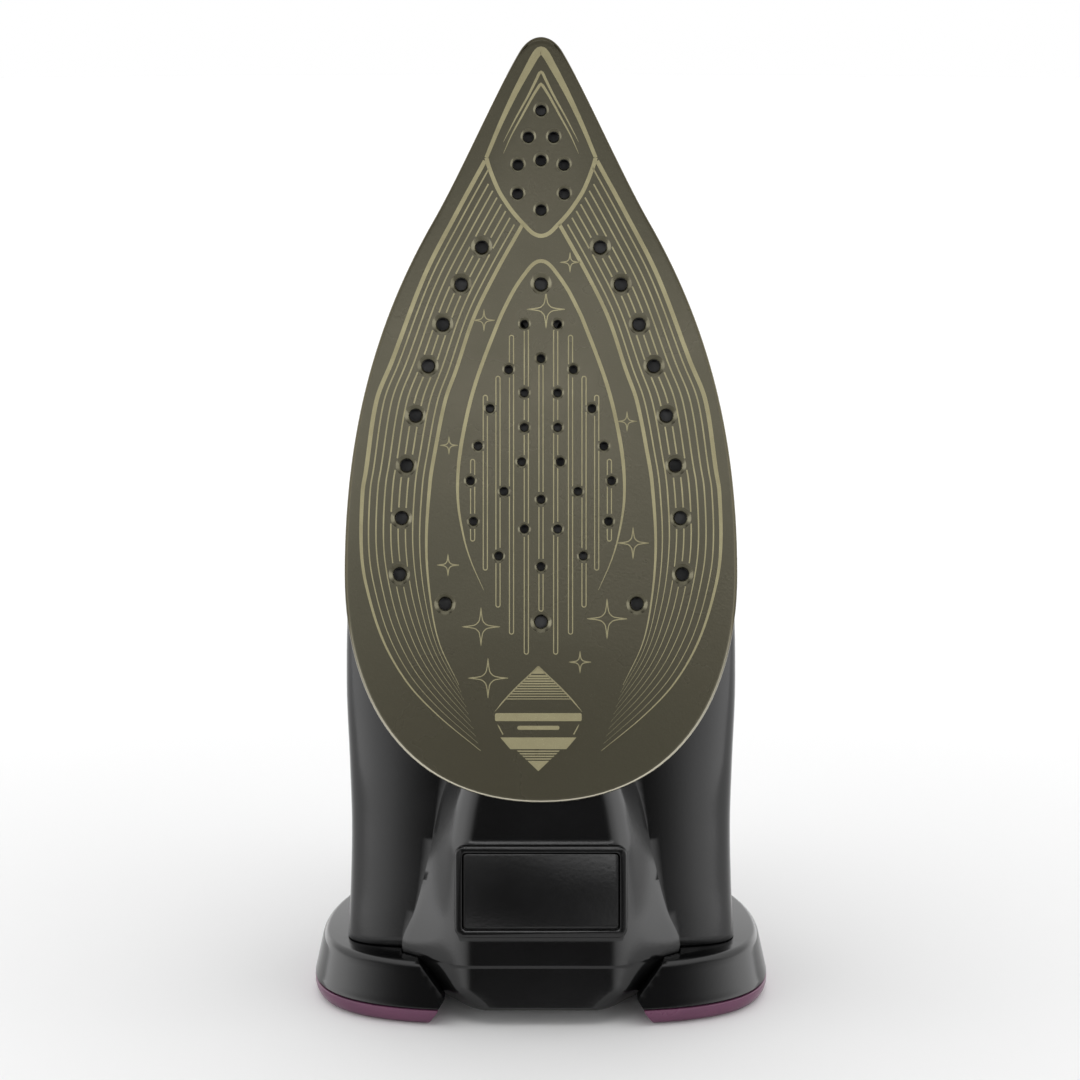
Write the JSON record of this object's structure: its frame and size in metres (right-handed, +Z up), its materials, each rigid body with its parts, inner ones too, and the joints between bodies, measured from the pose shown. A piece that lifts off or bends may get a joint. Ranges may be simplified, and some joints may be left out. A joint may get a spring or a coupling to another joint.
{
  "type": "steam iron",
  "caption": "Domestic steam iron standing on its heel: pointed soleplate with steam holes, water tank, open handle, dial, buttons and a turning cord inlet.",
  "frame": {"origin": "bottom centre of the bounding box, on the floor the heel pads stand on", "axes": "+Z up to the tip of the sole, -Y the way the sole faces, +X to the right seen from in front of the sole"},
  "size_m": [0.143, 0.178, 0.2952],
  "materials": {
    "sole_coating": "satin, olive brown, with a pale printed decoration",
    "cast_aluminium": "as cast",
    "steel": "bright",
    "brass": "turned",
    "silicone": "matte, translucent grey",
    "white_plastic": "moulded",
    "matte_black": "fine grained",
    "gloss_black": "polished",
    "smoky_tank": "clear, tinted plum",
    "soft_grip": "soft touch",
    "plum": "satin",
    "circuit_board": "lacquered",
    "lens": "clear red"
  },
  "bodies": {
    "iron": {"casting_screw_1": "steel", "casting_screw_2": "steel", "casting_screw_3": "steel", "chamber_seal": "silicone", "control_board": "circuit_board", "filler_pin": "steel", "handle_lower": "gloss_black", "handle_upper": "gloss_black", "heater_casting": "cast_aluminium", "heating_element": "steel", "heel_base": "gloss_black", "heel_cover": "matte_black", "heel_pad_left": "plum", "heel_pad_right": "plum", "heel_screw_1": "steel", "heel_screw_2": "steel", "indicator_lens": "lens", "lead_left": "silicone", "lead_right": "silicone", "pickup_hose": "silicone", "rating_plate": "matte_black", "rear_body": "gloss_black", "skirt": "matte_black", "soft_grip": "soft_grip", "soleplate": "sole_coating", "spray_cylinder": "white_plastic", "spray_hose": "silicone", "spray_nozzle": "brass", "spray_spring": "steel", "steam_chamber_cover": "cast_aluminium", "steam_cylinder": "white_plastic", "steam_spring": "steel", "terminal_block": "white_plastic", "thermal_fuse": "white_plastic", "thermostat": "white_plastic", "tilt_switch": "white_plastic", "valve_seal": "silicone", "valve_seat": "brass", "water_tank": "smoky_tank"},
    "filler_door": {"filler_door": "plum", "filler_seal": "silicone"},
    "spray_button": {"spray_button": "plum", "spray_piston": "white_plastic"},
    "steam_button": {"steam_button": "plum", "steam_piston": "white_plastic"},
    "steam_slider": {"steam_slider": "plum", "valve_link": "white_plastic"},
    "valve_rod": {"valve_rod": "steel"},
    "temperature_dial": {"temperature_dial": "plum", "dial_shaft": "white_plastic"},
    "cord_collar": {"cord_collar": "matte_black"},
    "cord_ball": {"cord_ball": "gloss_black"}
  },
  "joints": [
    {"name": "filler_door_hinge", "type": "hinge", "parent": "iron", "child": "filler_door", "pos_m": [0, 0.00844, 0.24356], "axis": [-1, 0, 0], "range_deg": [0, 100]},
    {"name": "spray_press", "type": "slide", "parent": "iron", "child": "spray_button", "axis": [0, -0.9781, 0.2079], "range_m": [0, 0.0035], "stiffness_N_per_m": 400, "springref_m": -0.004, "deforming": ["spray_spring"]},
    {"name": "steam_press", "type": "slide", "parent": "iron", "child": "steam_button", "axis": [0, -0.9781, 0.2079], "range_m": [0, 0.0035], "stiffness_N_per_m": 400, "springref_m": -0.004, "deforming": ["steam_spring"]},
    {"name": "steam_amount", "type": "slide", "parent": "iron", "child": "steam_slider", "axis": [0, 0.2079, 0.9781], "range_m": [0, 0.014]},
    {"name": "drip_valve_lift", "type": "slide", "parent": "iron", "child": "valve_rod", "axis": [0, 0.9781, -0.2079], "range_m": [0, 0.0025]},
    {"name": "dial_turn", "type": "hinge", "parent": "iron", "child": "temperature_dial", "pos_m": [0, -0.00344, 0.0958], "axis": [0, 0.9781, -0.2079], "range_deg": [0, 270]},
    {"name": "cord_swivel", "type": "hinge", "parent": "iron", "child": "cord_collar", "pos_m": [0, 0.03583, 0.03836], "axis": [0, 0.5446, -0.8387], "continuous": true},
    {"name": "cord_tilt", "type": "hinge", "parent": "cord_collar", "child": "cord_ball", "pos_m": [0, 0.03583, 0.03836], "axis": [1, 0, 0], "range_deg": [-22, 22]}
  ],
  "couplings": [
    {"joint": "drip_valve_lift", "follows": "steam_amount", "ratio": 0.17857}
  ]
}
